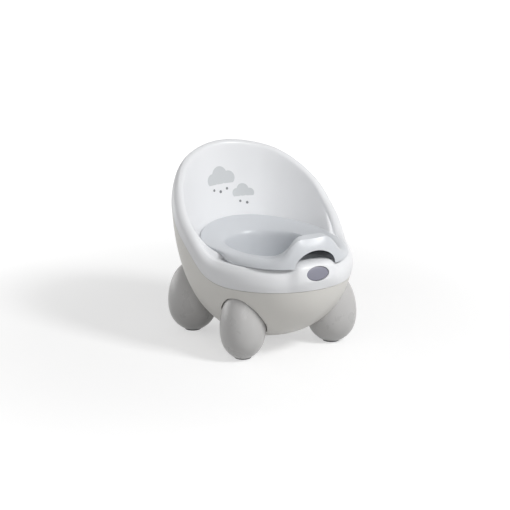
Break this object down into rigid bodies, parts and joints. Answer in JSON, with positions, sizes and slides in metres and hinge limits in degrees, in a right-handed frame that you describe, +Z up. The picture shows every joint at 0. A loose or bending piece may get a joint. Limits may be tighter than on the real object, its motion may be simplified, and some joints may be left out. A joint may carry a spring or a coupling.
{
  "type": "potty training chair",
  "caption": "Potty training chair for a small child: high-backed seat shell on four egg-shaped feet, with a lift-out pot, splash guard and front push button.",
  "frame": {"origin": "on the floor under the middle of the chair's bounding box", "axes": "+Z up, +Y to the back of the chair, +X to the sitter's left"},
  "size_m": [0.267, 0.292, 0.279],
  "materials": {
    "white_shell": "satin-gloss moulded polypropylene, cool white",
    "warm_white_tub": "satin moulded polypropylene, warm off-white",
    "light_grey_pot": "smooth moulded polypropylene, light grey",
    "grey_foot": "satin moulded plastic, mid grey",
    "pad_rubber": "matt dark grey non-slip rubber",
    "dark_button": "satin plastic, dark lavender grey",
    "zinc_steel": "zinc-plated steel",
    "natural_inner": "unpainted natural plastic"
  },
  "bodies": {
    "chair": {"seat_shell": "white_shell", "outer_tub": "warm_white_tub", "foot_front_left": "grey_foot", "foot_front_right": "grey_foot", "foot_rear_left": "grey_foot", "foot_rear_right": "grey_foot", "pad_front_left": "pad_rubber", "pad_front_right": "pad_rubber", "pad_rear_left": "pad_rubber", "pad_rear_right": "pad_rubber", "foot_screw_front_left": "zinc_steel", "foot_screw_front_right": "zinc_steel", "foot_screw_rear_left": "zinc_steel", "foot_screw_rear_right": "zinc_steel", "shell_screw_left": "zinc_steel", "shell_screw_right": "zinc_steel", "shell_screw_front": "zinc_steel", "shell_screw_rear": "zinc_steel", "button_spring": "zinc_steel", "button_guide": "natural_inner", "guide_screw_left": "zinc_steel", "guide_screw_right": "zinc_steel"},
    "pot_body": {"pot": "light_grey_pot"},
    "button_body": {"button_cap": "dark_button"}
  },
  "joints": [
    {"name": "pot_lift", "type": "slide", "parent": "chair", "child": "pot_body", "axis": [0, 0, 1], "range_m": [0, 0.26]},
    {"name": "button_press", "type": "slide", "parent": "chair", "child": "button_body", "axis": [0, 0.9781, -0.2079], "range_m": [0, 0.003], "stiffness_N_per_m": 400, "deforming": ["button_spring"]}
  ]
}
